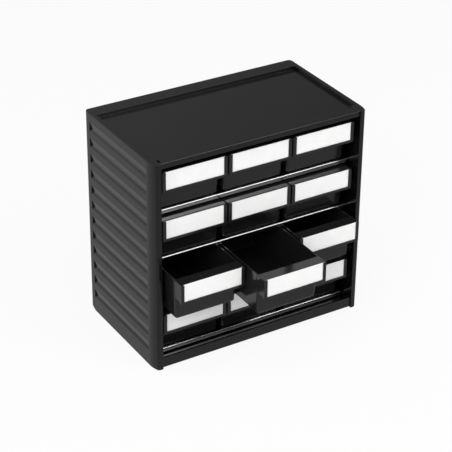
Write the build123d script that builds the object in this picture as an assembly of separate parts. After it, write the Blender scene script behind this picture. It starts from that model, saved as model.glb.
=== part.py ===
from build123d import *
import math
import os

# Storage cabinet with four rows of three small drawers on sheet-steel shelves.
# Millimetres. X runs to the right, Y to the rear and Z up. The origin is the
# middle of the footprint, on the surface that the cabinet stands on.
# Heights in the drawer functions count from the top of the drawer's own shelf.

# Layout of the drawers
rows = 4
columns = 3
row_pitch = 67.5
column_pitch = 93.8
side_room = 3.8
cabinet_depth = 180.0

# Side panels: an upright moulding with a post at its front and one at its rear
post_width = 10.5
front_post_depth = 18.0
rear_post_depth = 13.0
side_wall = 6.5
front_turn = 20.0
front_soft_radius = 45.0
front_edge_radius = 4.0
rear_corner_radius = 5.5
foot_radius = 1.0
heel_depth = 13.0
heel_height = 6.0

# Horizontal grooves in the outer face of a side panel
grooves_per_row = 3
groove_height = 13.1
groove_depth = 1.9
groove_step = 0.2
groove_sill = 3.2
groove_bulge = 0.1
groove_above_ledge = 5.2
groove_front_gap = 1.0
groove_rear_gap = 13.0

# Ledges inside a side panel, a pair for each place where a shelf can lie
ledge_thickness = 2.2
ledge_rear_gap = 7.0

# Shelves of folded steel sheet
sheet = 0.8
lip_height = 5.4
lip_setback = 21.5
fold_radius = 1.2
shelf_grip = 3.0
lip_end_gap = 0.4

# Base panel
base_clearance = 1.5
base_rail_height = 14.0
rail_setback = 2.0
rail_wall = 2.5
base_floor = 2.5
base_floor_height = 5.0
base_rib = 3.0
middle_foot = 4.0

# Top panel, a tray with a wide rear ledge
top_rail_height = 7.5
top_floor = 2.5
tray_depth = 4.5
tray_corner_radius = 2.0
front_rim_width = 13.5
rear_rim_width = 21.0
side_rim_width = 6.0
rim_overhang_inset = 0.0
rim_cap_height = 1.2
rim_fall = 0.3
rim_round = 3.0
rail_edge_radius = 1.2
notch_width = 3.0
notch_length = 7.5
notch_setback = 4.2

# Back panel
back_thickness = 2.0
back_setback = 1.9
back_grip = 3.3

# Tabs that join the base and top panels to the side panels
tab_length = 14.0
tab_thickness = 2.0
tab_reach = 3.0
tab_places = (-50.0, 0.0, 50.0)

# Drawers: a box with a label hood in front that is also the finger grip
drawer_height = 58.8
hood_width = 91.2
hood_depth = 16.0
label_setback = 6.5
body_width = 90.0
body_draft = 2.0
drawer_wall = 1.5
body_corner_radius = 4.0
body_floor_radius = 3.5
drawer_rear_room = 1.6
hood_wall = 1.8
plate_height = 28.0
plate_backing = 1.6
plate_corner_radius = 1.5
cheek_height = 24.5
cheek_foot = 4.5
cheek_radius = 3.0
stop_height = 6.0
stop_root = 1.0
stop_length = 3.0
stop_from_rear = 27.5

# How far each drawer of the lower row stands open
left_pull = 43.8
middle_pull = 85.2
right_pull = 21.9

# Label cards
card_thickness = 0.5
card_window_width = 82.0
card_window_height = 24.5
card_overlap = 1.2
card_lip = 0.7

# Clearances
slide_gap = 0.2
seat_gap = 0.1
slot_gap = 0.15
card_gap = 0.1

# How far a cutter runs past a face and a joined solid into its neighbour, and
# how near an edge lies to the place where it is looked for
overrun = 1.0
near_enough = 0.01

# Places worked out from the sizes above
opening_width = columns * column_pitch + 2 * side_room
cabinet_width = opening_width + 2 * post_width
half_width = cabinet_width / 2
half_opening = opening_width / 2
front_y = -cabinet_depth / 2
rear_y = cabinet_depth / 2
shelf_base_z = base_clearance + base_rail_height
drawer_zone = rows * row_pitch
cabinet_height = shelf_base_z + drawer_zone + top_rail_height
inner_x = half_width - side_wall
front_post_y = front_y + front_post_depth
rear_post_y = rear_y - rear_post_depth
rail_y = front_y + rail_setback
lip_y = front_y + lip_setback
groove_pitch = row_pitch / grooves_per_row
cap_z = cabinet_height - rim_cap_height
tray_z = cabinet_height - tray_depth
top_under_z = tray_z - top_floor
back_face_y = rear_y - back_setback - back_thickness
label_y = front_y + label_setback
body_y = label_y + hood_depth
rim_z = slide_gap + drawer_height
ledge_end_y = rear_post_y - ledge_rear_gap
drawer_rear_y = back_face_y - drawer_rear_room
row_names = ("top_row", "upper_row", "lower_row", "bottom_row")
column_names = ("left", "middle", "right")
pulls = {"lower_row": (left_pull, middle_pull, right_pull)}


def block(x, y, z):
    """A box from three pairs of limits."""
    size = (x[1] - x[0], y[1] - y[0], z[1] - z[0])
    return Pos(x[0], y[0], z[0]) * Box(*size, align=(Align.MIN, Align.MIN, Align.MIN))


def corner_fillet(shape, axis, x, y, radius):
    """Rounds the edges along an axis that lie at a given place across it."""
    across = [v for v in "XYZ" if v != axis]

    def near(edge):
        centre = edge.center()
        place = [getattr(centre, v) for v in across]
        return abs(place[0] - x) < near_enough and abs(place[1] - y) < near_enough

    along = shape.edges().filter_by(getattr(Axis, axis))
    return fillet([edge for edge in along if near(edge)], radius)


def shelf_z(row):
    """Height of the upper face of a row's shelf, where row 0 is the top one."""
    return shelf_base_z + (rows - 1 - row) * row_pitch


def column_x(column):
    """Middle of a column of drawers."""
    return (column - (columns - 1) / 2) * column_pitch


def panel_plan():
    """Outline of the right side panel as seen from above, filled."""
    turn = math.radians(front_turn)
    along = Vector(math.sin(turn), math.cos(turn))
    soft_run = front_soft_radius * math.tan(turn / 2)
    edge_run = front_edge_radius * math.tan(math.pi / 4 - turn / 2)
    edge_corner = Vector(half_width - (soft_run + edge_run) * along.X, front_y)
    soft_corner = Vector(half_width, front_y + (soft_run + edge_run) * along.Y)
    face_end = edge_corner - Vector(edge_run, 0)
    bend = edge_corner + along * edge_run
    side_start = soft_corner + Vector(0, soft_run)
    side_end = Vector(half_width, rear_y - rear_corner_radius)
    rear_end = Vector(half_width - rear_corner_radius, rear_y)
    front_start = Vector(half_opening, front_y)
    outline = Line(front_start, face_end)
    outline += TangentArc(face_end, bend, tangent=(1, 0))
    outline += TangentArc(bend, side_start, tangent=along)
    outline += Line(side_start, side_end)
    outline += TangentArc(side_end, rear_end, tangent=(0, 1))
    outline += Polyline(rear_end, Vector(half_opening, rear_y), front_start)
    return make_face(outline)


def groove_cutter(sill_z):
    """One groove: a slope that deepens downwards and ends on a shorter slope."""
    top_z = sill_z + groove_height
    deep_z = sill_z + groove_sill
    outside = half_width + overrun
    top_in = half_width - groove_step
    deep_in = half_width - groove_depth
    middle = ((top_in + deep_in) / 2 - groove_bulge, (top_z + deep_z) / 2)
    start_y = front_post_y + groove_front_gap
    end_y = rear_y - groove_rear_gap
    slope = ThreePointArc((top_in, top_z), middle, (deep_in, deep_z))
    rest = Polyline(
        (deep_in, deep_z),
        (half_width, sill_z),
        (outside, sill_z),
        (outside, top_z),
        (top_in, top_z),
    )
    profile = make_face(Plane.XZ * (slope + rest))
    return Pos(0, end_y, 0) * extrude(profile, end_y - start_y)


def side_panel():
    """The right side panel. The left one is its mirror image."""
    panel = extrude(panel_plan(), cabinet_height)
    hollow_y = (front_post_y, rear_post_y)
    full_z = (-overrun, cabinet_height + overrun)
    panel -= block((half_opening - overrun, inner_x), hollow_y, full_z)
    cap_x = (half_opening - overrun, half_width + overrun)
    panel -= block(cap_x, (front_post_y, rear_y + overrun), (cap_z, full_z[1]))
    panel -= rim_round_cutter()
    ledge_y = (front_post_y, ledge_end_y)
    slot = sheet + 2 * slot_gap
    for step in range(rows * grooves_per_row):
        level = shelf_base_z + step * groove_pitch
        low_z = level - sheet - slot_gap
        panel += block((half_opening, inner_x), ledge_y, (low_z - ledge_thickness, low_z))
        if step > 0:
            panel += block((half_opening, inner_x), ledge_y, (low_z + slot, low_z + slot + ledge_thickness))
        panel -= groove_cutter(level + groove_above_ledge)
    back_slot_y = (back_face_y - slot_gap, back_face_y + back_thickness + slot_gap)
    back_slot_x = (half_opening - overrun, half_opening + back_grip + slot_gap)
    panel -= block(back_slot_x, back_slot_y, full_z)
    for place in tab_places:
        pocket_y = (place - tab_length / 2 - slot_gap, place + tab_length / 2 + slot_gap)
        base_z = (base_floor_height - slot_gap, base_floor_height + base_floor + slot_gap)
        panel -= block((inner_x - overrun, inner_x + tab_reach + slot_gap), pocket_y, base_z)
        top_x = (inner_x + tab_thickness - slot_gap, inner_x + 2 * tab_thickness + slot_gap)
        panel -= block(top_x, pocket_y, (cap_z - tab_reach - slot_gap, cap_z + overrun))
    heel = Polyline((rear_y - heel_depth, 0), (rear_y + overrun, 0), (rear_y + overrun, heel_height),
                    (rear_y, heel_height), close=True)
    heel_cutter = extrude(make_face(Plane.YZ * heel), post_width + 2 * overrun)
    panel -= Pos(half_opening - overrun, 0, 0) * heel_cutter
    return corner_fillet(panel, "X", front_y, 0, foot_radius)


def shelf(row):
    """A steel sheet with its front edge folded down."""
    level = shelf_z(row)
    half_sheet = half_opening + shelf_grip
    half_lip = half_opening - lip_end_gap
    sheet_y = (lip_y + fold_radius, ledge_end_y - slide_gap)
    tail_y = (sheet_y[1] - overrun, back_face_y - slot_gap)
    plate = block((-half_sheet, half_sheet), sheet_y, (level - sheet, level))
    plate += block((-half_lip, half_lip), tail_y, (level - sheet, level))
    profile = make_face(Plane.YZ * Polyline(
        (sheet_y[0] + overrun, level),
        (lip_y, level),
        (lip_y, level - lip_height),
        (lip_y + sheet, level - lip_height),
        (lip_y + sheet, level - sheet),
        (sheet_y[0] + overrun, level - sheet),
        close=True,
    ))
    lip = Pos(-half_lip, 0, 0) * extrude(profile, 2 * half_lip)
    lip = corner_fillet(lip, "X", lip_y, level, fold_radius)
    lip = corner_fillet(lip, "X", lip_y + sheet, level - sheet, fold_radius - sheet)
    return plate + lip


def base_panel():
    """Front rail, floor, rear wall, a foot under the middle and the ribs below the lowest shelf."""
    half_inner = inner_x - seat_gap
    half_front = half_opening - seat_gap
    rear_wall_y = (back_face_y - slide_gap - rail_wall, back_face_y - slide_gap)
    floor_z = (base_floor_height, base_floor_height + base_floor)
    rail_z = (base_clearance, shelf_base_z)
    panel = block((-half_front, half_front), (rail_y, rear_wall_y[1]), floor_z)
    panel += block((-half_inner, half_inner), (front_post_y + seat_gap, rear_post_y - seat_gap), floor_z)
    panel += block((-half_front, half_front), (rail_y, rail_y + rail_wall), rail_z)
    rib_top = shelf_base_z - sheet - seat_gap
    panel += block((-half_front, half_front), rear_wall_y, (base_clearance, rib_top))
    panel += block((-half_inner, half_inner), (-middle_foot / 2, middle_foot / 2), (0, base_floor_height))
    rib_start = lip_y + fold_radius + seat_gap
    for line in range(columns + 1):
        x = (line - columns / 2) * column_pitch
        rib_x = (x - base_rib / 2, x + base_rib / 2)
        panel += block(rib_x, (rib_start, rear_wall_y[1]), (floor_z[0], rib_top))
    for place in tab_places:
        tab_y = (place - tab_length / 2, place + tab_length / 2)
        panel += block((-inner_x - tab_reach, inner_x + tab_reach), tab_y, floor_z)
    return panel


def rim_round_cutter():
    """What rounds the outer edge of the right rim of the top panel."""
    cap_x = half_width - rim_overhang_inset
    crest = (cap_x - rim_round, cabinet_height)
    foot = (cap_x, cabinet_height - rim_fall)
    radius = (rim_round ** 2 + rim_fall ** 2) / (2 * rim_fall)
    half_angle = math.asin(rim_round / radius) / 2
    drop = radius * (1 - math.cos(half_angle))
    middle = (crest[0] + radius * math.sin(half_angle), cabinet_height - drop)
    curve = ThreePointArc(crest, middle, foot)
    beyond = (half_width + overrun, cabinet_height + overrun)
    outer = Polyline(foot, (beyond[0], foot[1]), beyond, (crest[0], beyond[1]), crest)
    profile = make_face(Plane.XZ * (curve + outer))
    return Pos(0, rear_y + overrun, 0) * extrude(profile, cabinet_depth + 2 * overrun)


def top_panel():
    """Tray with rims that cap the side panels and a rail across the front."""
    cap_x = half_width - rim_overhang_inset
    half_front = half_opening - seat_gap
    half_inner = inner_x - seat_gap
    tray_half = cap_x - side_rim_width
    tray_front_y = rail_y + front_rim_width
    tray_rear_y = rear_y - rear_rim_width
    cap_y = front_post_y + seat_gap
    cap = block((-cap_x, cap_x), (cap_y, rear_y), (cap_z, cabinet_height))
    cap = corner_fillet(cap, "Z", cap_x, rear_y, rear_corner_radius)
    cap = corner_fillet(cap, "Z", -cap_x, rear_y, rear_corner_radius)
    body_rear_y = back_face_y - slide_gap
    body_low = (top_under_z, cabinet_height)
    panel = cap + block((-half_inner, half_inner), (cap_y, rear_post_y - seat_gap), body_low)
    panel += block((-half_front, half_front), (rail_y, body_rear_y), body_low)
    panel += block((-half_front, half_front), (back_face_y + back_thickness + slot_gap, rear_y), body_low)
    rail_z = (cabinet_height - top_rail_height, cabinet_height)
    panel += block((-half_front, half_front), (rail_y, rail_y + rail_wall), rail_z)
    open_z = (tray_z, cabinet_height + overrun)
    tray = block((-tray_half, tray_half), (cap_y + rail_wall, tray_rear_y), open_z)
    tray = corner_fillet(tray, "Z", tray_half, tray_rear_y, tray_corner_radius)
    tray = corner_fillet(tray, "Z", -tray_half, tray_rear_y, tray_corner_radius)
    front_half = half_front - notch_width
    tray += block((-front_half, front_half), (tray_front_y, cap_y + rail_wall + overrun), open_z)
    panel -= tray
    ledge_cavity_z = (top_under_z - overrun, cabinet_height - top_floor)
    half_cavity = half_front - rail_wall
    panel -= block((-half_cavity, half_cavity), (tray_rear_y + rail_wall, body_rear_y), ledge_cavity_z)
    notch_y = (rail_y + notch_setback, rail_y + notch_setback + notch_length)
    panel -= block((-half_front - overrun, -front_half), notch_y, open_z)
    stop_y = (lip_y + sheet - rail_wall, lip_y + sheet)
    stop_z = shelf_z(0) + row_pitch - lip_height
    panel += block((-half_front, half_front), stop_y, (stop_z, tray_z))
    for place in tab_places:
        tab_y = (place - tab_length / 2, place + tab_length / 2)
        for side in (-1, 1):
            reach = sorted((side * (inner_x + tab_thickness), side * (inner_x + 2 * tab_thickness)))
            panel += block(reach, tab_y, (cap_z - tab_reach, cap_z + overrun))
    cutter = rim_round_cutter()
    panel -= cutter
    panel -= mirror(cutter, about=Plane.YZ)
    return corner_fillet(panel, "X", rail_y, cabinet_height, rail_edge_radius)


def back_panel():
    """A plain sheet in the grooves of the rear posts and of the top panel."""
    half_back = half_opening + back_grip
    back_z = (base_clearance, cap_z - seat_gap)
    return block((-half_back, half_back), (back_face_y, back_face_y + back_thickness), back_z)


def drafted_box(half, y, z, corner, floor):
    """A box of a given size at the rim whose walls lean in downwards, with rounded corners and foot."""
    slope = math.tan(math.radians(body_draft))
    growth = (z[1] - rim_z) * slope
    width = 2 * (half + growth)
    length = y[1] - y[0] + 2 * growth
    inset = (z[1] - z[0]) * slope
    tapered = Wedge(width, z[1] - z[0], length, inset, inset, width - inset, length - inset,
                    align=(Align.CENTER, Align.MIN, Align.CENTER))
    box = Pos(0, (y[0] + y[1]) / 2, z[1]) * Rot(-90, 0, 0) * tapered
    corners = [edge for edge in box.edges() if edge.bounding_box().size.Z > overrun]
    box = fillet(corners, corner)
    return fillet(box.faces().sort_by(Axis.Z)[0].edges(), floor)


def drawer_body():
    """The open box of a drawer, with its two stops on the rear of the rim."""
    half = body_width / 2
    outer_y = (body_y, drawer_rear_y)
    body = drafted_box(half, outer_y, (slide_gap, rim_z), body_corner_radius, body_floor_radius)
    inner_y = (body_y + drawer_wall, drawer_rear_y - drawer_wall)
    inner_z = (slide_gap + drawer_wall, rim_z + overrun)
    body -= drafted_box(half - drawer_wall, inner_y, inner_z,
                        body_corner_radius - drawer_wall, body_floor_radius - drawer_wall)
    stop_y = drawer_rear_y - stop_from_rear
    for side in (-1, 1):
        reach = sorted((side * half, side * (half - drawer_wall)))
        body += block(reach, (stop_y, stop_y + stop_length), (rim_z - stop_root, rim_z + stop_height))
    return body


def hood():
    """Top band, cheeks, rear wall and label plate in front of a drawer."""
    half = hood_width / 2
    plate_y = label_y + card_lip + card_thickness + 2 * card_gap
    plate_back_y = plate_y + plate_backing
    back_y = body_y + drawer_wall
    side = Polyline(
        (label_y, rim_z),
        (label_y, rim_z - plate_height),
        (label_y + cheek_foot, rim_z - plate_height),
        (label_y + cheek_foot, rim_z - cheek_height),
        (back_y, rim_z - cheek_height),
        (back_y, rim_z),
        close=True,
    )
    shape = Pos(-half, 0, 0) * extrude(make_face(Plane.YZ * side), hood_width)
    shape = corner_fillet(shape, "X", label_y + cheek_foot, rim_z - cheek_height, cheek_radius)
    inside = block((-half + hood_wall, half - hood_wall), (plate_back_y, body_y),
                   (rim_z - plate_height - overrun, rim_z - hood_wall))
    shape -= inside
    shape = corner_fillet(shape, "Y", -half, rim_z - plate_height, plate_corner_radius)
    shape = corner_fillet(shape, "Y", half, rim_z - plate_height, plate_corner_radius)
    return shape


def card_places():
    """Half width and lowest point of a label card in its pocket, which it fills up to the rim."""
    return card_window_width / 2 + card_overlap, rim_z - card_window_height - card_overlap


def drawer():
    """A drawer with its hood and the pocket for its label card."""
    shape = drawer_body() + hood()
    half_card, low_z = card_places()
    pocket_y = (label_y + card_lip, label_y + card_lip + card_thickness + 2 * card_gap)
    half_pocket = half_card + card_gap
    shape -= block((-half_pocket, half_pocket), pocket_y, (low_z - card_gap, rim_z + overrun))
    half_window = card_window_width / 2
    window = block((-half_window, half_window), (label_y - overrun, pocket_y[0] + card_gap),
                   (rim_z - card_window_height, rim_z + overrun))
    return shape - window


def label_card():
    """A plain card in the pocket of a drawer's hood."""
    half_card, low_z = card_places()
    card_y = label_y + card_lip + card_gap
    return block((-half_card, half_card), (card_y, card_y + card_thickness), (low_z, rim_z))


def write(shape, name):
    """Writes one node as its own STEP file."""
    shape.label = name
    export_step(shape, f"parts/{name}.step")


os.makedirs("parts", exist_ok=True)

right_side = side_panel()
write(right_side, "right_side_panel")
write(mirror(right_side, about=Plane.YZ), "left_side_panel")
write(top_panel(), "top_panel")
write(base_panel(), "base_panel")
write(back_panel(), "back_panel")

drawer_shape = drawer()
card_shape = label_card()
for row, row_name in enumerate(row_names):
    write(shelf(row), f"{row_name}_shelf")
    row_pulls = pulls.get(row_name, (0, 0, 0))
    for column, column_name in enumerate(column_names):
        place = Pos(column_x(column), -row_pulls[column], shelf_z(row))
        write(place * drawer_shape, f"{row_name}_{column_name}_drawer")
        write(place * card_shape, f"{row_name}_{column_name}_label_card")
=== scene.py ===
"""Storage cabinet with twelve drawers: finishes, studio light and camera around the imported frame."""
import math

import bmesh
import bpy
from mathutils import Matrix, Vector


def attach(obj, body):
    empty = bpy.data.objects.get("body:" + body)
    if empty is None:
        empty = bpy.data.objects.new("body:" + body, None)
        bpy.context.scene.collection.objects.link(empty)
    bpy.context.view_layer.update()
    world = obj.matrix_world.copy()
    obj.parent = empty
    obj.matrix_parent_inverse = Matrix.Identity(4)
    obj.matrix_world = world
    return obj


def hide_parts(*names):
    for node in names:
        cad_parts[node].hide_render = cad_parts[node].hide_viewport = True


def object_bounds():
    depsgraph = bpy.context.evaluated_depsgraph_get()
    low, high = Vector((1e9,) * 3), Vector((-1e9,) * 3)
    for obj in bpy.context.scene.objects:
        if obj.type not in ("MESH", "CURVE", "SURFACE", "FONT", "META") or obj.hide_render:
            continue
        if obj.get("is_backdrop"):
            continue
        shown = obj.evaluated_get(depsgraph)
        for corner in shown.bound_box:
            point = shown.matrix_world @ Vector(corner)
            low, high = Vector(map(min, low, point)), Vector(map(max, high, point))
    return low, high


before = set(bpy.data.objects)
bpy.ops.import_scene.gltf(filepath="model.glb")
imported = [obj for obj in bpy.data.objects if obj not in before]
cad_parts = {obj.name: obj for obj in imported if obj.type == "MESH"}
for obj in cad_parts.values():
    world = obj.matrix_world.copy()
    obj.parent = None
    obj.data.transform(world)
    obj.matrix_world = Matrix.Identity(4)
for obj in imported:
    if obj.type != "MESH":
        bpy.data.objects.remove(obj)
cad_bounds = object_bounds()

MM = 0.001

# The photograph's camera, found from the cabinet's straight edges
FRAME_PIXELS = 452
FOCAL_PIXELS = 1692.45
SENSOR_MM = 36.0
VIEW_AZIMUTH = -31.43
VIEW_ELEVATION = 29.69
VIEW_ROLL = 0.60
VIEW_DISTANCE = 2212.91 * MM
VIEW_CENTRE = Vector((0.0, 1.0, 145.0)) * MM
VIEW_SHIFT_RIGHT = 1.45 * MM
VIEW_SHIFT_UP = -18.8 * MM

# The studio: floor in metres, and lamps as name, place, size in metres and power in watts
FLOOR_HALF_SIZE = 3.0
LAMPS = (
    ("left key", (-1.6, -1.1, 1.5), 1.2, 20.0),
    ("overhead", (0.1, -0.3, 2.1), 1.4, 5.0),
    ("front box", (0.62, -1.0, 1.28), 0.8, 8.7),
)

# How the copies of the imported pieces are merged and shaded
SHARP_ANGLE = math.radians(32)
MERGE_DISTANCE = 0.002 * MM
FLAT_ANGLE = math.radians(0.6)

ROWS = ("top_row", "upper_row", "lower_row", "bottom_row")
COLUMNS = ("left", "middle", "right")
CABINET = "cabinet"

# Sizes of the side panels and shelves in millimetres
LOWEST_SHELF = 15.5
ROW_PITCH = 67.5
HALF_WIDTH = 155.0
HALF_OPENING = 144.5
HALF_DEPTH = 90.0
HEIGHT = 293.0
INNER_FACE = 148.5
FRONT_POST_END = -72.0
REAR_POST_START = 77.0
BACK_SLOT = (85.95, 88.25, 147.95)
LOW_POCKET = (INNER_FACE - 1.0, INNER_FACE + 3.2, 4.8, 7.7)
HIGH_POCKET = (INNER_FACE + 1.8, INNER_FACE + 4.2)
HIGH_POCKET_DEPTH = 3.2
OVERRUN = 1.0
FRONT_TURN = math.radians(20)
SOFT_RADIUS = 45.0
EDGE_RADIUS = 4.0
REAR_RADIUS = 5.5
PANEL_SIZES = {
    "Grooves": 12,
    "Groove steps": 12,
    "Pitch": 22.5,
    "First sill": 20.7,
    "Groove height": 13.1,
    "Groove depth": 1.9,
    "Groove top step": 0.2,
    "Groove sill": 3.2,
    "Groove bulge": 0.1,
    "Groove front": -71.0,
    "Groove rear": 77.0,
    "Half width": HALF_WIDTH,
    "Ledge inside": HALF_OPENING,
    "Ledge outside": 149.0,
    "Ledge front": -72.5,
    "Ledge rear": 70.0,
    "Ledge thickness": 2.2,
    "First ledge top": 14.5,
    "Shelf slot": 1.2,
    "Cap height": 291.8,
    "Cap front": FRONT_POST_END,
    "Height": HEIGHT,
    "Half depth": HALF_DEPTH,
    "Rim crest": 152.0,
    "Rim round": 3.0,
    "Rim fall": 0.3,
    "Heel depth": 13.0,
    "Heel height": 6.0,
    "Tab pockets": 3,
    "Tab pitch": 50.0,
    "Tab length": 14.4,
}
SHELF_SIZES = {
    "Level": 0.0,
    "Half lip": 144.1,
    "Half sheet": 147.5,
    "Front": -68.5,
    "Sheet rear": 69.8,
    "Tail rear": 85.95,
    "Thickness": 0.8,
    "Lip height": 5.4,
    "Fold radius": 1.2,
}


def add_node(tree, kind, inputs=None, **settings):
    """Adds a node. An input is a plain value or the socket that feeds it."""
    node = tree.nodes.new(kind)
    for name, value in settings.items():
        setattr(node, name, value)
    for name, value in (inputs or {}).items():
        socket = node.inputs[name]
        if isinstance(value, bpy.types.NodeSocket):
            tree.links.new(value, socket)
        else:
            socket.default_value = value
    return node


def maths(tree, operation, first, second=0.5, clamp=False):
    """Result of one arithmetic step."""
    node = add_node(tree, "ShaderNodeMath", {0: first, 1: second}, operation=operation, use_clamp=clamp)
    return node.outputs[0]


def ramp(tree, value, low, high, bottom=0.0, top=1.0):
    """Maps a value between two limits onto a new range, clamped."""
    inputs = {"Value": value, "From Min": low, "From Max": high, "To Min": bottom, "To Max": top}
    return add_node(tree, "ShaderNodeMapRange", inputs).outputs["Result"]


def blend_colour(tree, factor, first, second):
    """Mixes two colours by a mask."""
    node = tree.nodes.new("ShaderNodeMix")
    node.data_type = "RGBA"
    for socket, value in ((node.inputs[0], factor), (node.inputs[6], first), (node.inputs[7], second)):
        if isinstance(value, bpy.types.NodeSocket):
            tree.links.new(value, socket)
        elif isinstance(value, tuple):
            socket.default_value = (*value, 1.0)
        else:
            socket.default_value = value
    return node.outputs[2]


def effect_group(name, inputs, outputs):
    """An empty shader group with named inputs and outputs."""
    tree = bpy.data.node_groups.new(name, "ShaderNodeTree")
    for label, kind, value in inputs:
        socket = tree.interface.new_socket(label, in_out="INPUT", socket_type=kind)
        if value is not None:
            socket.default_value = value
    for label, kind in outputs:
        tree.interface.new_socket(label, in_out="OUTPUT", socket_type=kind)
    return tree, tree.nodes.new("NodeGroupInput").outputs, tree.nodes.new("NodeGroupOutput").inputs


def moulded_grain():
    """The fine spark-eroded grain of a moulding, with a slow unevenness under it."""
    tree, given, made = effect_group(
        "moulded grain",
        [("Vector", "NodeSocketVector", None), ("Grain per metre", "NodeSocketFloat", 1500.0),
         ("Waviness", "NodeSocketFloat", 0.3)],
        [("Height", "NodeSocketFloat"), ("Cloud", "NodeSocketFloat")],
    )
    vector = given["Vector"]
    grain = add_node(tree, "ShaderNodeTexNoise", {
        "Vector": vector, "Scale": given["Grain per metre"], "Detail": 3.0, "Roughness": 0.6})
    coarse = maths(tree, "MULTIPLY", given["Grain per metre"], 0.6)
    pits = add_node(tree, "ShaderNodeTexVoronoi", {"Vector": vector, "Scale": coarse}, feature="SMOOTH_F1")
    cloud = add_node(tree, "ShaderNodeTexNoise", {
        "Vector": vector, "Scale": 14.0, "Detail": 4.0, "Roughness": 0.55})
    fine = maths(tree, "ADD", grain.outputs["Fac"], maths(tree, "MULTIPLY", pits.outputs["Distance"], 0.5))
    slow = maths(tree, "MULTIPLY", cloud.outputs["Fac"], given["Waviness"])
    tree.links.new(maths(tree, "ADD", fine, slow), made["Height"])
    tree.links.new(cloud.outputs["Fac"], made["Cloud"])
    return tree


def handling_marks():
    """Faint wipe marks and short scratches, as a mask."""
    tree, given, made = effect_group(
        "handling marks",
        [("Vector", "NodeSocketVector", None), ("Scratches per metre", "NodeSocketFloat", 90.0),
         ("Turn", "NodeSocketFloat", 0.6)],
        [("Wipes", "NodeSocketFloat"), ("Scratches", "NodeSocketFloat")],
    )
    turned = add_node(tree, "ShaderNodeVectorRotate", {
        "Vector": given["Vector"], "Axis": (0.3, 0.2, 1.0), "Angle": given["Turn"]})
    stretched = add_node(tree, "ShaderNodeMapping", {"Vector": turned.outputs[0], "Scale": (0.06, 1.0, 1.0)})
    lines = add_node(tree, "ShaderNodeTexNoise", {
        "Vector": stretched.outputs[0], "Scale": maths(tree, "MULTIPLY", given["Scratches per metre"], 6.0),
        "Detail": 2.0, "Roughness": 0.5})
    where = add_node(tree, "ShaderNodeTexNoise", {
        "Vector": given["Vector"], "Scale": given["Scratches per metre"], "Detail": 2.0})
    wipes = add_node(tree, "ShaderNodeTexNoise", {
        "Vector": stretched.outputs[0], "Scale": 30.0, "Detail": 3.0, "Roughness": 0.6, "Distortion": 0.4})
    thin = ramp(tree, lines.outputs["Fac"], 0.66, 0.74)
    patches = ramp(tree, where.outputs["Fac"], 0.55, 0.7)
    tree.links.new(maths(tree, "MULTIPLY", thin, patches), made["Scratches"])
    tree.links.new(ramp(tree, wipes.outputs["Fac"], 0.4, 0.75), made["Wipes"])
    return tree


def worn_edges():
    """Where an edge is close, and a normal that rounds it."""
    tree, given, made = effect_group(
        "worn edges",
        [("Radius", "NodeSocketFloat", 0.0006)],
        [("Edge", "NodeSocketFloat"), ("Normal", "NodeSocketVector")],
    )
    rounded = add_node(tree, "ShaderNodeBevel", {"Radius": given["Radius"]}, samples=6)
    plain = add_node(tree, "ShaderNodeNewGeometry")
    along = add_node(tree, "ShaderNodeVectorMath", {
        0: rounded.outputs["Normal"], 1: plain.outputs["Normal"]}, operation="DOT_PRODUCT")
    tree.links.new(ramp(tree, along.outputs["Value"], 0.995, 0.85), made["Edge"])
    tree.links.new(rounded.outputs["Normal"], made["Normal"])
    return tree


GRAIN = moulded_grain()
MARKS = handling_marks()
EDGES = worn_edges()


def use_group(tree, group, inputs):
    """Places a shader group in a material."""
    node = tree.nodes.new("ShaderNodeGroup")
    node.node_tree = group
    for name, value in inputs.items():
        socket = node.inputs[name]
        if isinstance(value, bpy.types.NodeSocket):
            tree.links.new(value, socket)
        else:
            socket.default_value = value
    return node.outputs


def new_material(name):
    """An empty material, its tree, its Principled shader and the piece's own coordinates."""
    material = bpy.data.materials.new(name)
    material.use_nodes = True
    tree = material.node_tree
    shader = tree.nodes["Principled BSDF"]
    place = add_node(tree, "ShaderNodeTexCoord").outputs["Object"]
    return material, tree, shader, place


def black_plastic(name, dark, pale, roughness, spread, grain, bump):
    """Black moulded plastic: nearly all of what shows is its sheen."""
    material, tree, shader, place = new_material(name)
    moulded = use_group(tree, GRAIN, {"Vector": place, "Grain per metre": grain, "Waviness": 0.5})
    marks = use_group(tree, MARKS, {"Vector": place})
    edges = use_group(tree, EDGES, {"Radius": 0.5 * MM})
    body = blend_colour(tree, ramp(tree, moulded["Cloud"], 0.3, 0.7), dark, pale)
    rubbed = maths(tree, "MULTIPLY", edges["Edge"], 0.5)
    worn = tuple(3.0 * value for value in pale)
    tree.links.new(blend_colour(tree, rubbed, body, worn), shader.inputs["Base Color"])
    uneven = ramp(tree, moulded["Cloud"], 0.3, 0.7, roughness - spread, roughness + spread)
    wiped = maths(tree, "ADD", uneven, maths(tree, "MULTIPLY", marks["Wipes"], 0.05))
    scuffed = maths(tree, "ADD", wiped, maths(tree, "MULTIPLY", marks["Scratches"], 0.1), clamp=True)
    tree.links.new(scuffed, shader.inputs["Roughness"])
    relief = add_node(tree, "ShaderNodeBump", {
        "Height": moulded["Height"], "Strength": bump, "Distance": 0.03 * MM, "Normal": edges["Normal"]})
    tree.links.new(relief.outputs["Normal"], shader.inputs["Normal"])
    shader.inputs["Specular IOR Level"].default_value = 0.45
    return material


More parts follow.
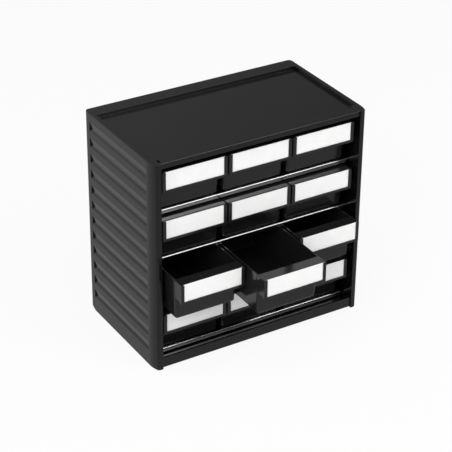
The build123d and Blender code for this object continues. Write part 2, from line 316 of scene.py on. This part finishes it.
def galvanised_steel():
    """Bright zinc-coated sheet: soft cloud of the coating, fine rolling lines, a few handling marks."""
    material, tree, shader, place = new_material("bright zinc-coated sheet")
    clouds = add_node(tree, "ShaderNodeTexNoise", {
        "Vector": place, "Scale": 45.0, "Detail": 3.0, "Roughness": 0.5})
    rolled = add_node(tree, "ShaderNodeMapping", {"Vector": place, "Scale": (0.02, 1.0, 1.0)})
    lines = add_node(tree, "ShaderNodeTexNoise", {
        "Vector": rolled.outputs[0], "Scale": 1600.0, "Detail": 2.0})
    marks = use_group(tree, MARKS, {"Vector": place})
    tone = ramp(tree, clouds.outputs["Fac"], 0.3, 0.7)
    colour = blend_colour(tree, tone, (0.60, 0.605, 0.61), (0.68, 0.685, 0.69))
    tree.links.new(colour, shader.inputs["Base Color"])
    drawn = ramp(tree, lines.outputs["Fac"], 0.3, 0.7, 0.10, 0.14)
    wiped = maths(tree, "ADD", drawn, maths(tree, "MULTIPLY", marks["Wipes"], 0.04))
    tree.links.new(wiped, shader.inputs["Roughness"])
    relief = add_node(tree, "ShaderNodeBump", {
        "Height": lines.outputs["Fac"], "Strength": 0.04, "Distance": 0.01 * MM})
    tree.links.new(relief.outputs["Normal"], shader.inputs["Normal"])
    shader.inputs["Metallic"].default_value = 1.0
    return material


def paper_card():
    """Uncoated white card with a faint fibre."""
    material, tree, shader, place = new_material("white card")
    fibre = add_node(tree, "ShaderNodeTexNoise", {
        "Vector": place, "Scale": 1400.0, "Detail": 4.0, "Roughness": 0.7})
    cloud = add_node(tree, "ShaderNodeTexNoise", {"Vector": place, "Scale": 60.0, "Detail": 3.0})
    shade = maths(tree, "ADD", maths(tree, "MULTIPLY", fibre.outputs["Fac"], 0.5),
                  maths(tree, "MULTIPLY", cloud.outputs["Fac"], 0.5))
    colour = blend_colour(tree, ramp(tree, shade, 0.35, 0.65), (0.88, 0.88, 0.875), (0.93, 0.93, 0.925))
    tree.links.new(colour, shader.inputs["Base Color"])
    tree.links.new(ramp(tree, fibre.outputs["Fac"], 0.3, 0.7, 0.7, 0.85), shader.inputs["Roughness"])
    relief = add_node(tree, "ShaderNodeBump", {
        "Height": fibre.outputs["Fac"], "Strength": 0.3, "Distance": 0.02 * MM})
    tree.links.new(relief.outputs["Normal"], shader.inputs["Normal"])
    shader.inputs["Specular IOR Level"].default_value = 0.2
    return material


PANEL_BLACK = black_plastic("satin black panel", (0.0025, 0.0025, 0.0026), (0.0038, 0.0038, 0.0039),
                            0.15, 0.03, 1500.0, 0.12)
DRAWER_BLACK = black_plastic("semi-gloss black drawer", (0.010, 0.010, 0.0102), (0.012, 0.012, 0.0123),
                             0.14, 0.02, 2200.0, 0.08)
STEEL = galvanised_steel()
CARD = paper_card()


def flat_groups(shape):
    """Groups the faces that lie in one plane: each face's group, and each group's normal and area."""
    group = [None] * len(shape.faces)
    normals = []
    areas = []
    for first in shape.faces:
        if group[first.index] is not None:
            continue
        group[first.index] = len(normals)
        whole = Vector()
        waiting = [first]
        while waiting:
            face = waiting.pop()
            whole += face.normal * face.calc_area()
            for edge in face.edges:
                for other in edge.link_faces:
                    if group[other.index] is None and other.normal.dot(first.normal) > math.cos(FLAT_ANGLE):
                        group[other.index] = len(normals)
                        waiting.append(other)
        normals.append(whole.normalized())
        areas.append(whole.length)
    return group, normals, areas


def smooth_fans(vertex):
    """The faces round a vertex, in sets that no sharp edge divides."""
    left = set(vertex.link_faces)
    while left:
        waiting = [left.pop()]
        fan = []
        while waiting:
            face = waiting.pop()
            fan.append(face)
            for edge in vertex.link_edges:
                if edge.smooth and face in edge.link_faces:
                    for other in edge.link_faces:
                        if other in left:
                            left.remove(other)
                            waiting.append(other)
        yield fan


def set_true_normals(mesh):
    """Keeps flat faces flat up to the roundings beside them, and roundings smooth."""
    shape = bmesh.new()
    shape.from_mesh(mesh)
    for edge in shape.edges:
        edge.smooth = len(edge.link_faces) == 2 and edge.calc_face_angle() < SHARP_ANGLE
    group, normals, areas = flat_groups(shape)
    corners = [(0.0, 0.0, 1.0)] * len(mesh.loops)
    for vertex in shape.verts:
        for fan in smooth_fans(vertex):
            normal = Vector()
            for number in {group[face.index] for face in fan}:
                normal += normals[number] * (areas[number] / MM ** 2) ** 2
            normal.normalize()
            for face in fan:
                for loop in face.loops:
                    if loop.vert == vertex:
                        corners[loop.index] = normal
    shape.to_mesh(mesh)
    shape.free()
    mesh.normals_split_custom_set(corners)


def shape_tree(name, sizes):
    """A geometry tree whose inputs are the piece's blank, its sizes in millimetres and its material."""
    tree = bpy.data.node_groups.new(name, "GeometryNodeTree")
    tree.interface.new_socket("Blank", in_out="INPUT", socket_type="NodeSocketGeometry")
    for label, value in sizes.items():
        kind = "NodeSocketInt" if isinstance(value, int) else "NodeSocketFloat"
        socket = tree.interface.new_socket(label, in_out="INPUT", socket_type=kind)
        socket.default_value = value
    tree.interface.new_socket("Material", in_out="INPUT", socket_type="NodeSocketMaterial")
    tree.interface.new_socket("Piece", in_out="OUTPUT", socket_type="NodeSocketGeometry")
    return tree, tree.nodes.new("NodeGroupInput").outputs, tree.nodes.new("NodeGroupOutput").inputs


def unit_block(tree, columns=1, levels=1):
    """A block whose corners run from 0 to 1, and its position split into three."""
    cube = add_node(tree, "GeometryNodeMeshCube", {
        "Size": (1.0, 1.0, 1.0), "Vertices X": columns, "Vertices Y": 2, "Vertices Z": levels})
    place = add_node(tree, "ShaderNodeVectorMath", {
        0: add_node(tree, "GeometryNodeInputPosition").outputs[0], 1: (0.5, 0.5, 0.5)}, operation="ADD")
    split = add_node(tree, "ShaderNodeSeparateXYZ", {0: place.outputs[0]}).outputs
    return cube.outputs["Mesh"], split[0], split[1], split[2]


def between(tree, share, low, high):
    """Value at a share of the way between two others."""
    span = maths(tree, "SUBTRACT", high, low)
    return maths(tree, "ADD", low, maths(tree, "MULTIPLY", share, span))


def moved(tree, mesh, x, y, z):
    """The mesh with new positions."""
    point = add_node(tree, "ShaderNodeCombineXYZ", {0: x, 1: y, 2: z})
    return add_node(tree, "GeometryNodeSetPosition", {
        "Geometry": mesh, "Position": point.outputs[0]}).outputs[0]


def box(tree, x, y, z):
    """A box from three pairs of limits."""
    mesh, across, along, up = unit_block(tree, 2, 2)
    return moved(tree, mesh, between(tree, across, *x), between(tree, along, *y), between(tree, up, *z))


def repeated(tree, mesh, count, start, step):
    """Copies of a mesh on a line of points."""
    line = add_node(tree, "GeometryNodeMeshLine", {
        "Count": count, "Start Location": start, "Offset": step})
    copies = add_node(tree, "GeometryNodeInstanceOnPoints", {"Points": line.outputs[0], "Instance": mesh})
    return add_node(tree, "GeometryNodeRealizeInstances", {0: copies.outputs[0]}).outputs[0]


def upward(tree, value):
    """A vector straight up."""
    return add_node(tree, "ShaderNodeCombineXYZ", {2: value}).outputs[0]


def combined(tree, operation, first, others):
    """Result of joining or cutting closed meshes."""
    node = add_node(tree, "GeometryNodeMeshBoolean", operation=operation, solver="EXACT")
    if first is not None:
        tree.links.new(first, node.inputs["Mesh 1"])
    for other in others:
        tree.links.new(other, node.inputs["Mesh 2"])
    return node.outputs["Mesh"]


def finish_tree(tree, mesh, material, made):
    """Brings millimetres to metres and ends the tree."""
    scaled = add_node(tree, "GeometryNodeTransform", {"Geometry": mesh, "Scale": (MM, MM, MM)})
    whole = add_node(tree, "GeometryNodeRealizeInstances", {0: scaled.outputs[0]})
    painted = add_node(tree, "GeometryNodeSetMaterial", {"Geometry": whole.outputs[0], "Material": material})
    tree.links.new(painted.outputs[0], made["Piece"])


def groove_cutter(tree, size):
    """One groove: a slope that deepens downwards and ends on a shorter slope."""
    steps = size["Groove steps"]
    mesh, across, along, up = unit_block(tree, 2, maths(tree, "ADD", steps, 1.0))
    row = maths(tree, "MULTIPLY", up, steps)
    off_sill = maths(tree, "MINIMUM", row, 1.0)
    past_sill = maths(tree, "SUBTRACT", row, 1.0)
    slope = maths(tree, "DIVIDE", past_sill, maths(tree, "SUBTRACT", steps, 1.0), clamp=True)
    rise = maths(tree, "SUBTRACT", size["Groove height"], size["Groove sill"])
    sill = maths(tree, "MULTIPLY", off_sill, size["Groove sill"])
    z = maths(tree, "ADD", sill, maths(tree, "MULTIPLY", slope, rise))
    depth = between(tree, slope, size["Groove depth"], size["Groove top step"])
    bow = maths(tree, "MULTIPLY", slope, maths(tree, "SUBTRACT", 1.0, slope))
    bulge = maths(tree, "MULTIPLY", maths(tree, "MULTIPLY", bow, 4.0), size["Groove bulge"])
    inset = maths(tree, "MULTIPLY", off_sill, maths(tree, "ADD", depth, bulge))
    inner = maths(tree, "SUBTRACT", size["Half width"], inset)
    outer = maths(tree, "ADD", size["Half width"], OVERRUN)
    y = between(tree, along, size["Groove front"], size["Groove rear"])
    return moved(tree, mesh, between(tree, across, inner, outer), y, z)


def rim_cutter(tree, size, steps=8):
    """What rounds the outer top edge of the front post."""
    mesh, across, along, up = unit_block(tree, steps + 1, 2)
    column = maths(tree, "MULTIPLY", across, float(steps))
    share = maths(tree, "DIVIDE", column, float(steps - 1), clamp=True)
    beyond = maths(tree, "MAXIMUM", maths(tree, "SUBTRACT", column, float(steps - 1)), 0.0)
    rounded = maths(tree, "MULTIPLY", share, size["Rim round"])
    outward = maths(tree, "ADD", rounded, maths(tree, "MULTIPLY", beyond, 2.0))
    x = maths(tree, "ADD", size["Rim crest"], outward)
    drop = maths(tree, "MULTIPLY", size["Rim fall"], maths(tree, "MULTIPLY", share, share))
    low = maths(tree, "SUBTRACT", size["Height"], drop)
    high = maths(tree, "ADD", size["Height"], OVERRUN)
    ends = maths(tree, "ADD", size["Half depth"], OVERRUN)
    y = between(tree, along, maths(tree, "MULTIPLY", ends, -1.0), ends)
    return moved(tree, mesh, x, y, between(tree, up, low, high))


def heel_cutter(tree, size):
    """The slope under the rear foot."""
    mesh, across, along, up = unit_block(tree, 2, 2)
    start = maths(tree, "SUBTRACT", size["Half depth"], size["Heel depth"])
    run = maths(tree, "ADD", size["Heel depth"], OVERRUN)
    y = maths(tree, "ADD", start, maths(tree, "MULTIPLY", along, run))
    slope = maths(tree, "DIVIDE", size["Heel height"], size["Heel depth"])
    top = maths(tree, "MULTIPLY", maths(tree, "MULTIPLY", along, run), slope)
    x = between(tree, across, maths(tree, "SUBTRACT", size["Ledge inside"], OVERRUN),
                maths(tree, "ADD", size["Half width"], OVERRUN))
    return moved(tree, mesh, x, y, between(tree, up, -OVERRUN, top))


def tab_pockets(tree, size):
    """The pockets for the tabs of the base and the top, a pair at each place."""
    half = maths(tree, "DIVIDE", size["Tab length"], 2.0)
    y = (maths(tree, "MULTIPLY", half, -1.0), half)
    low = box(tree, LOW_POCKET[:2], y, LOW_POCKET[2:])
    floor_height = maths(tree, "SUBTRACT", size["Cap height"], HIGH_POCKET_DEPTH)
    high = box(tree, HIGH_POCKET, y, (floor_height, maths(tree, "ADD", size["Cap height"], OVERRUN)))
    pair = add_node(tree, "GeometryNodeJoinGeometry")
    tree.links.new(high, pair.inputs[0])
    tree.links.new(low, pair.inputs[0])
    start = add_node(tree, "ShaderNodeCombineXYZ", {1: maths(tree, "MULTIPLY", size["Tab pitch"], -1.0)})
    step = add_node(tree, "ShaderNodeCombineXYZ", {1: size["Tab pitch"]})
    return repeated(tree, pair.outputs[0], size["Tab pockets"], start.outputs[0], step.outputs[0])


def side_panel_tree():
    """A side panel: its blank with ledges at every shelf place and a groove between them."""
    tree, size, made = shape_tree("grooved side panel", PANEL_SIZES)
    step = upward(tree, size["Pitch"])
    x = (size["Ledge inside"], size["Ledge outside"])
    y = (size["Ledge front"], size["Ledge rear"])
    ledge = box(tree, x, y, (maths(tree, "MULTIPLY", size["Ledge thickness"], -1.0), 0.0))
    lower = repeated(tree, ledge, size["Grooves"], upward(tree, size["First ledge top"]), step)
    second = maths(tree, "ADD", maths(tree, "ADD", size["First ledge top"], size["Pitch"]),
                   maths(tree, "ADD", size["Shelf slot"], size["Ledge thickness"]))
    upper = repeated(tree, ledge, maths(tree, "SUBTRACT", size["Grooves"], 1.0), upward(tree, second), step)
    panel = combined(tree, "UNION", None, (size["Blank"], lower, upper))
    first_sill = upward(tree, size["First sill"])
    grooves = repeated(tree, groove_cutter(tree, size), size["Grooves"], first_sill, step)
    beyond_x = maths(tree, "ADD", size["Half width"], OVERRUN)
    inside = maths(tree, "SUBTRACT", size["Ledge inside"], OVERRUN)
    beyond_y = maths(tree, "ADD", size["Half depth"], OVERRUN)
    beyond_z = maths(tree, "ADD", size["Height"], 2.0)
    cap = box(tree, (inside, beyond_x), (size["Cap front"], beyond_y), (size["Cap height"], beyond_z))
    cutters = (grooves, cap, rim_cutter(tree, size), heel_cutter(tree, size), tab_pockets(tree, size))
    finish_tree(tree, combined(tree, "DIFFERENCE", panel, cutters), size["Material"], made)
    return tree


def shelf_tree():
    """A sheet that follows a folded path, with a wider part that lies on the ledges."""
    tree, size, made = shape_tree("folded shelf", SHELF_SIZES)
    half = maths(tree, "DIVIDE", size["Thickness"], 2.0)
    middle = maths(tree, "SUBTRACT", size["Level"], half)
    front = maths(tree, "ADD", size["Front"], half)
    foot = maths(tree, "SUBTRACT", size["Level"], size["Lip height"])
    points = add_node(tree, "GeometryNodeMeshLine", {"Count": 3})
    order = add_node(tree, "GeometryNodeInputIndex").outputs[0]
    bent = maths(tree, "MINIMUM", order, 1.0)
    down = maths(tree, "MAXIMUM", maths(tree, "SUBTRACT", order, 1.0), 0.0)
    placed = moved(tree, points.outputs[0], 0.0, between(tree, bent, size["Tail rear"], front),
                   between(tree, down, middle, foot))
    path = add_node(tree, "GeometryNodeMeshToCurve", {"Mesh": placed})
    folded = add_node(tree, "GeometryNodeFilletCurve", {
        "Curve": path.outputs[0], "Radius": maths(tree, "SUBTRACT", size["Fold radius"], half), "Count": 8},
        mode="POLY")
    strip = add_node(tree, "GeometryNodeCurvePrimitiveQuadrilateral", {
        "Width": maths(tree, "MULTIPLY", size["Half lip"], 2.0), "Height": size["Thickness"]})
    sheet = add_node(tree, "GeometryNodeCurveToMesh", {
        "Curve": folded.outputs[0], "Profile Curve": strip.outputs[0], "Fill Caps": True})
    low = maths(tree, "SUBTRACT", size["Level"], size["Thickness"])
    start = maths(tree, "ADD", size["Front"], size["Fold radius"])
    left = maths(tree, "MULTIPLY", size["Half sheet"], -1.0)
    wide = box(tree, (left, size["Half sheet"]), (start, size["Sheet rear"]), (low, size["Level"]))
    finish_tree(tree, combined(tree, "UNION", None, (sheet.outputs[0], wide)), size["Material"], made)
    return tree


def arc(centre, radius, start, end, steps):
    """Points on an arc, whose angle is the heading of its tangent."""
    for step in range(steps + 1):
        angle = start + (end - start) * step / steps
        yield (centre[0] + radius * math.sin(angle), centre[1] - radius * math.cos(angle))


def panel_plan():
    """Outline of the right side panel from above, with its hollow and the slot for the back."""
    heading = math.pi / 2 - FRONT_TURN
    soft_run = SOFT_RADIUS * math.tan(FRONT_TURN / 2)
    edge_run = EDGE_RADIUS * math.tan(math.pi / 4 - FRONT_TURN / 2)
    face_end = HALF_WIDTH - (soft_run + edge_run) * math.sin(FRONT_TURN) - edge_run
    points = [(HALF_OPENING, -HALF_DEPTH)]
    points += arc((face_end, EDGE_RADIUS - HALF_DEPTH), EDGE_RADIUS, 0.0, heading, 10)
    bend = points.pop()
    soft_centre = (bend[0] - SOFT_RADIUS * math.sin(heading), bend[1] + SOFT_RADIUS * math.cos(heading))
    points += arc(soft_centre, SOFT_RADIUS, heading, math.pi / 2, 12)
    rear_centre = (HALF_WIDTH - REAR_RADIUS, HALF_DEPTH - REAR_RADIUS)
    points += arc(rear_centre, REAR_RADIUS, math.pi / 2, math.pi, 10)
    front, rear, deep = BACK_SLOT
    points += [(HALF_OPENING, HALF_DEPTH), (HALF_OPENING, rear), (deep, rear), (deep, front)]
    points.append((HALF_OPENING, front))
    points += [(HALF_OPENING, REAR_POST_START), (INNER_FACE, REAR_POST_START)]
    points += [(INNER_FACE, FRONT_POST_END), (HALF_OPENING, FRONT_POST_END)]
    return points


def prism(name, outline, height):
    """A closed mesh that stands on an outline."""
    count = len(outline)
    points = [(x, y, 0.0) for x, y in outline] + [(x, y, height) for x, y in outline]
    faces = [tuple(reversed(range(count))), tuple(range(count, 2 * count))]
    for first in range(count):
        second = (first + 1) % count
        faces.append((first, second, second + count, first + count))
    mesh = bpy.data.meshes.new(name)
    mesh.from_pydata(points, [], faces)
    return mesh


def made_by(tree, blank, name, material, sizes):
    """The plain mesh that a tree makes of a blank."""
    piece = bpy.data.objects.new(name, blank)
    bpy.context.scene.collection.objects.link(piece)
    modifier = piece.modifiers.new(name, "NODES")
    modifier.node_group = tree
    keys = {item.name: item.identifier for item in tree.interface.items_tree if item.in_out == "INPUT"}
    modifier[keys["Material"]] = material
    for label, value in sizes.items():
        modifier[keys[label]] = value
    bpy.context.view_layer.update()
    shown = piece.evaluated_get(bpy.context.evaluated_depsgraph_get())
    mesh = bpy.data.meshes.new_from_object(shown)
    piece.modifiers.remove(modifier)
    bpy.data.objects.remove(piece)
    return mesh


def packed_mesh(node):
    """A copy of a CAD node's mesh."""
    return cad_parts[node].data.copy()


def dressed(mesh, node, name, material, body):
    """A piece from a mesh, merged and with true normals, which stands for a CAD node."""
    mesh.name = name
    shape = bmesh.new()
    shape.from_mesh(mesh)
    bmesh.ops.remove_doubles(shape, verts=shape.verts, dist=MERGE_DISTANCE)
    bmesh.ops.dissolve_degenerate(shape, dist=MERGE_DISTANCE, edges=shape.edges)
    for face in shape.faces:
        face.material_index = 0
        face.smooth = True
    shape.to_mesh(mesh)
    shape.free()
    mesh.materials.clear()
    mesh.materials.append(material)
    set_true_normals(mesh)
    piece = bpy.data.objects.new(name, mesh)
    bpy.context.scene.collection.objects.link(piece)
    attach(piece, body)
    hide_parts(node)
    return piece


def mirrored(mesh):
    """The mesh on the other side of the middle, with its faces outward."""
    copy = mesh.copy()
    copy.transform(Matrix.Scale(-1.0, 4, (1.0, 0.0, 0.0)))
    copy.flip_normals()
    return copy


panel_blank = prism("panel blank", panel_plan(), HEIGHT)
right_panel = made_by(side_panel_tree(), panel_blank, "side panel", PANEL_BLACK, {})
dressed(mirrored(right_panel), "left_side_panel", "left_side", PANEL_BLACK, CABINET)
dressed(right_panel, "right_side_panel", "right_side", PANEL_BLACK, CABINET)
for node, name in (("top_panel", "tray_top"), ("base_panel", "base"), ("back_panel", "back")):
    dressed(packed_mesh(node), node, name, PANEL_BLACK, CABINET)
shelf_rule = shelf_tree()
for number, row in enumerate(ROWS):
    shelf = made_by(shelf_rule, bpy.data.meshes.new("shelf blank"), "shelf", STEEL,
                    {"Level": LOWEST_SHELF + (len(ROWS) - 1 - number) * ROW_PITCH})
    dressed(shelf, f"{row}_shelf", f"{row}_steel_shelf", STEEL, CABINET)
    for column in COLUMNS:
        body = f"{row}_{column}_drawer"
        card = f"{row}_{column}_label_card"
        dressed(packed_mesh(body), body, f"{row}_{column}_box", DRAWER_BLACK, body)
        dressed(packed_mesh(card), card, f"{row}_{column}_card", CARD, body)


def floor():
    """A white floor: white to the camera, with a faint shadow of the cabinet. In reflections it is a painted
    glow, a little dimmer towards the front, that shows no shadow.
    """
    half = FLOOR_HALF_SIZE
    mesh = bpy.data.meshes.new("floor")
    corners = [(-half, -half, 0), (half, -half, 0), (half, half, 0), (-half, half, 0)]
    mesh.from_pydata(corners, [], [(0, 1, 2, 3)])
    plane = bpy.data.objects.new("floor", mesh)
    bpy.context.scene.collection.objects.link(plane)
    material = bpy.data.materials.new("white floor")
    material.use_nodes = True
    tree = material.node_tree
    tree.nodes.clear()
    path = add_node(tree, "ShaderNodeLightPath")
    paint = add_node(tree, "ShaderNodeBsdfDiffuse", {"Color": (0.8, 0.8, 0.8, 1.0)})
    place = add_node(tree, "ShaderNodeTexCoord").outputs["Object"]
    along = add_node(tree, "ShaderNodeSeparateXYZ", {0: place}).outputs["Y"]
    # Painted reflection: in reflections the floor glows by itself, 0.47 towards the front and 0.55 towards
    # the back, with no shadow in it; to the camera it is white
    level = maths(tree, "MAXIMUM", ramp(tree, along, -0.35, 0.1, 0.47, 0.55), path.outputs["Is Camera Ray"])
    white = add_node(tree, "ShaderNodeEmission", {"Color": (1.0, 1.0, 1.0, 1.0), "Strength": level})
    direct = maths(tree, "MULTIPLY", path.outputs["Is Camera Ray"], 0.9)
    seen = maths(tree, "MAXIMUM", direct, path.outputs["Is Glossy Ray"])
    mixed = add_node(tree, "ShaderNodeMixShader", {0: seen, 1: paint.outputs[0], 2: white.outputs[0]})
    output = add_node(tree, "ShaderNodeOutputMaterial")
    tree.links.new(mixed.outputs[0], output.inputs["Surface"])
    mesh.materials.append(material)
    plane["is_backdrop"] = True


def studio_world():
    """White to the camera. For everything else, bright on the left and dark on the right."""
    world = bpy.data.worlds.new("studio")
    bpy.context.scene.world = world
    world.use_nodes = True
    tree = world.node_tree
    tree.nodes.clear()
    path = add_node(tree, "ShaderNodeLightPath")
    direction = add_node(tree, "ShaderNodeTexCoord").outputs["Generated"]
    split = add_node(tree, "ShaderNodeSeparateXYZ", {0: direction}).outputs
    sky = ramp(tree, split["X"], -0.6, 0.75, 0.95, 0.08)
    white = maths(tree, "MAXIMUM", sky, path.outputs["Is Camera Ray"])
    background = add_node(tree, "ShaderNodeBackground", {"Color": (1.0, 1.0, 1.0, 1.0), "Strength": white})
    output = add_node(tree, "ShaderNodeOutputWorld")
    tree.links.new(background.outputs[0], output.inputs["Surface"])


def soft_box(name, place, size, power):
    """A square lamp that faces the cabinet."""
    lamp = bpy.data.lights.new(name, "AREA")
    lamp.shape = "SQUARE"
    lamp.size = size
    lamp.energy = power
    lamp_object = bpy.data.objects.new(name, lamp)
    lamp_object.location = place
    aim = VIEW_CENTRE - Vector(place)
    lamp_object.rotation_euler = aim.to_track_quat("-Z", "Y").to_euler()
    bpy.context.scene.collection.objects.link(lamp_object)


def photo_camera():
    """The camera at the photograph's place and angle."""
    azimuth, elevation, roll = (math.radians(v) for v in (VIEW_AZIMUTH, VIEW_ELEVATION, VIEW_ROLL))
    back = Vector((
        math.sin(azimuth) * math.cos(elevation),
        -math.cos(azimuth) * math.cos(elevation),
        math.sin(elevation),
    ))
    level = Vector((0.0, 0.0, 1.0)).cross(back).normalized()
    upright = back.cross(level)
    right = math.cos(roll) * level + math.sin(roll) * upright
    up = math.cos(roll) * upright - math.sin(roll) * level
    camera = bpy.data.cameras.new("photo")
    camera.sensor_width = SENSOR_MM
    camera.lens = SENSOR_MM * FOCAL_PIXELS / FRAME_PIXELS
    camera.clip_start = 0.05
    camera_object = bpy.data.objects.new("photo", camera)
    target = VIEW_CENTRE + VIEW_SHIFT_RIGHT * right + VIEW_SHIFT_UP * up
    turn = Matrix((right, up, back)).transposed().to_4x4()
    camera_object.matrix_world = Matrix.Translation(target + VIEW_DISTANCE * back) @ turn
    bpy.context.scene.collection.objects.link(camera_object)
    bpy.context.scene.camera = camera_object


floor()
studio_world()
for lamp in LAMPS:
    soft_box(*lamp)
photo_camera()
bpy.context.scene.view_settings.view_transform = "Standard"

boxes = [[list(corner) for corner in box] for box in (cad_bounds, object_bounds())]
